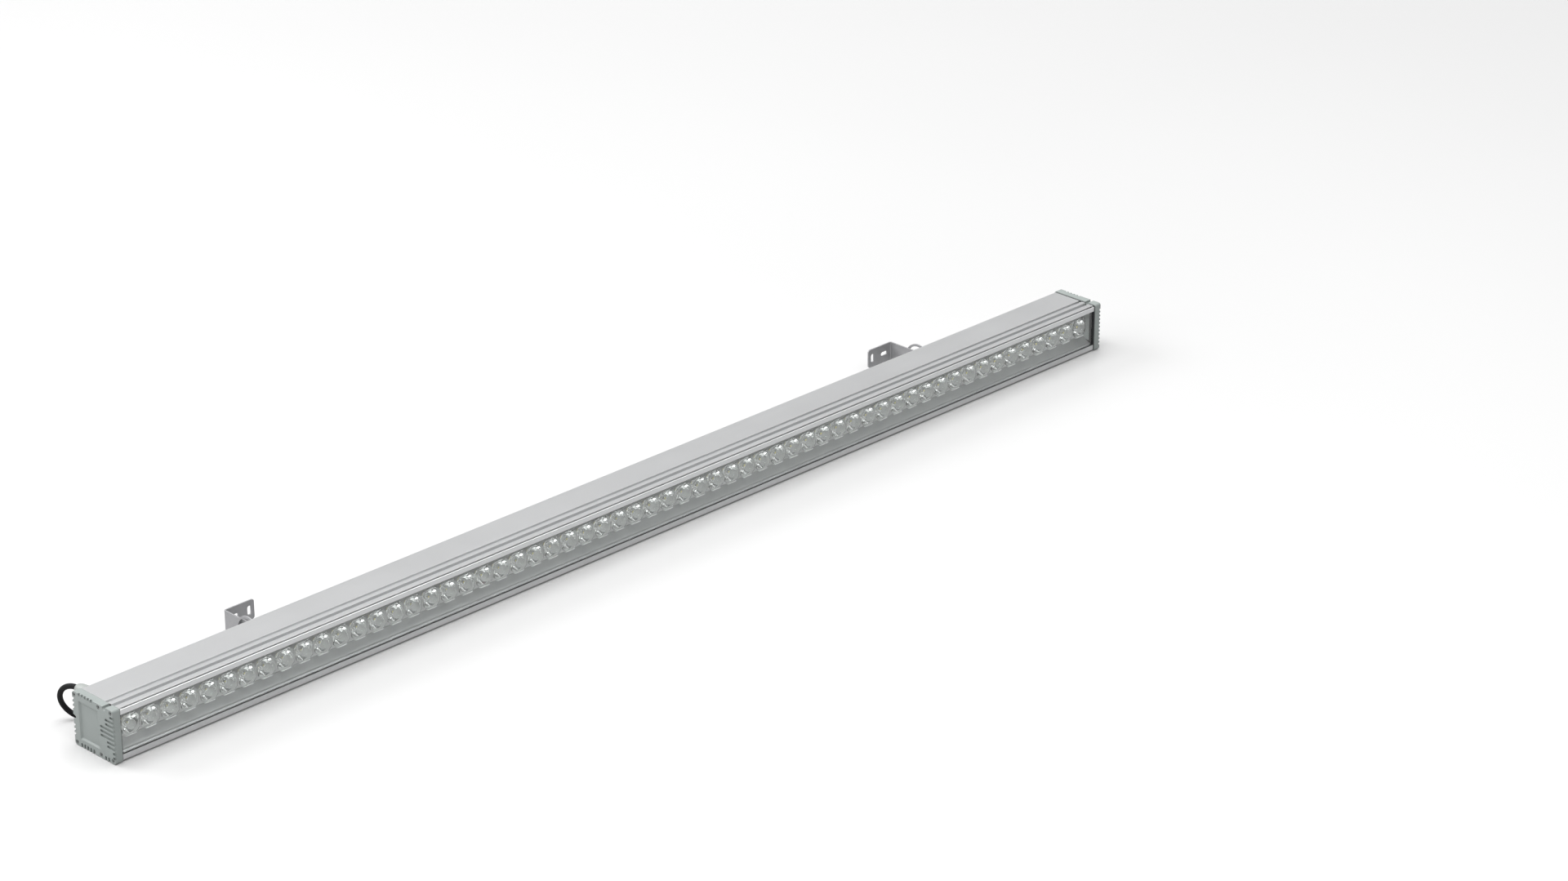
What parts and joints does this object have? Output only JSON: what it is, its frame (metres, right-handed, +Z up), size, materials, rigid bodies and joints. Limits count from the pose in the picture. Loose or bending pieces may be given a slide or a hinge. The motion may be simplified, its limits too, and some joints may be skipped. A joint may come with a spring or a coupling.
{
  "type": "outdoor wall washer light",
  "caption": "Linear outdoor wall washer: extruded housing with cast end caps, clear lenses behind a front glass, cable gland, and sliding, tilting wall brackets.",
  "frame": {"origin": "middle of the base, under the middle of the box that holds the light and its brackets", "axes": "+X along the light from the cable end, +Y from the lit front to the wall, +Z up"},
  "size_m": [1.5, 0.1288, 0.0605],
  "materials": {
    "anodised_housing": "matte anodised",
    "cast_cap": "satin grey-green powder over die casting",
    "black_rubber": "matte",
    "bright_steel": "bright",
    "plated_screw": "dull zinc plate",
    "zinc_sheet": "satin sheet",
    "clear_glass": "clear tempered",
    "clear_lens": "clear moulded",
    "grey_board": "pale grey solder mask",
    "yellow_phosphor": "phosphor",
    "white_plastic": "moulded nylon",
    "green_board": "solder mask",
    "copper_winding": "taped winding",
    "blue_can": "sleeved can",
    "green_plastic": "moulded",
    "brown_wire": "insulation",
    "red_wire": "insulation",
    "cable_sheath": "satin rubber sheath"
  },
  "bodies": {
    "fixture": {"housing": "anodised_housing", "end_cap_left": "cast_cap", "end_cap_right": "cast_cap", "end_cap_gasket_left": "black_rubber", "end_cap_gasket_right": "black_rubber", "end_cap_screws_left": "plated_screw", "end_cap_screws_right": "plated_screw", "front_glass": "clear_glass", "glass_gasket": "black_rubber", "lamp_boards": "grey_board", "board_screws": "bright_steel", "lamp_chips": "yellow_phosphor", "lenses_left": "clear_lens", "lenses_middle": "clear_lens", "lenses_right": "clear_lens", "supply_tray": "white_plastic", "supply_board": "green_board", "supply_transformer": "copper_winding", "supply_capacitors": "blue_can", "terminal_block": "green_plastic", "mains_leads": "brown_wire", "lamp_leads": "red_wire", "gland": "white_plastic", "gland_washer": "black_rubber", "gland_nut": "white_plastic", "cable_core": "cable_sheath", "supply_cable": "cable_sheath"},
    "slider_left": {"fixture_bracket_left": "zinc_sheet", "slot_screws_left": "bright_steel", "slot_nuts_left": "zinc_sheet", "pivot_bolt_left": "bright_steel", "pivot_washers_left": "bright_steel", "pivot_nut_left": "bright_steel"},
    "wall_arm_left": {"wall_bracket_left": "zinc_sheet", "lock_bolt_left": "bright_steel", "lock_nut_left": "bright_steel"},
    "slider_right": {"fixture_bracket_right": "zinc_sheet", "slot_screws_right": "bright_steel", "slot_nuts_right": "zinc_sheet", "pivot_bolt_right": "bright_steel", "pivot_washers_right": "bright_steel", "pivot_nut_right": "bright_steel"},
    "wall_arm_right": {"wall_bracket_right": "zinc_sheet", "lock_bolt_right": "bright_steel", "lock_nut_right": "bright_steel"}
  },
  "joints": [
    {"name": "slide_left", "type": "slide", "parent": "fixture", "child": "slider_left", "axis": [1, 0, 0], "range_m": [-0.14, 0.44]},
    {"name": "tilt_left", "type": "hinge", "parent": "slider_left", "child": "wall_arm_left", "pos_m": [-0.5074, 0.0206, 0.0313], "axis": [1, 0, 0], "range_deg": [-95, 95]},
    {"name": "slide_right", "type": "slide", "parent": "fixture", "child": "slider_right", "axis": [1, 0, 0], "range_m": [-0.44, 0.21]},
    {"name": "tilt_right", "type": "hinge", "parent": "slider_right", "child": "wall_arm_right", "pos_m": [0.5122, 0.0206, 0.0313], "axis": [1, 0, 0], "range_deg": [-95, 95]}
  ]
}
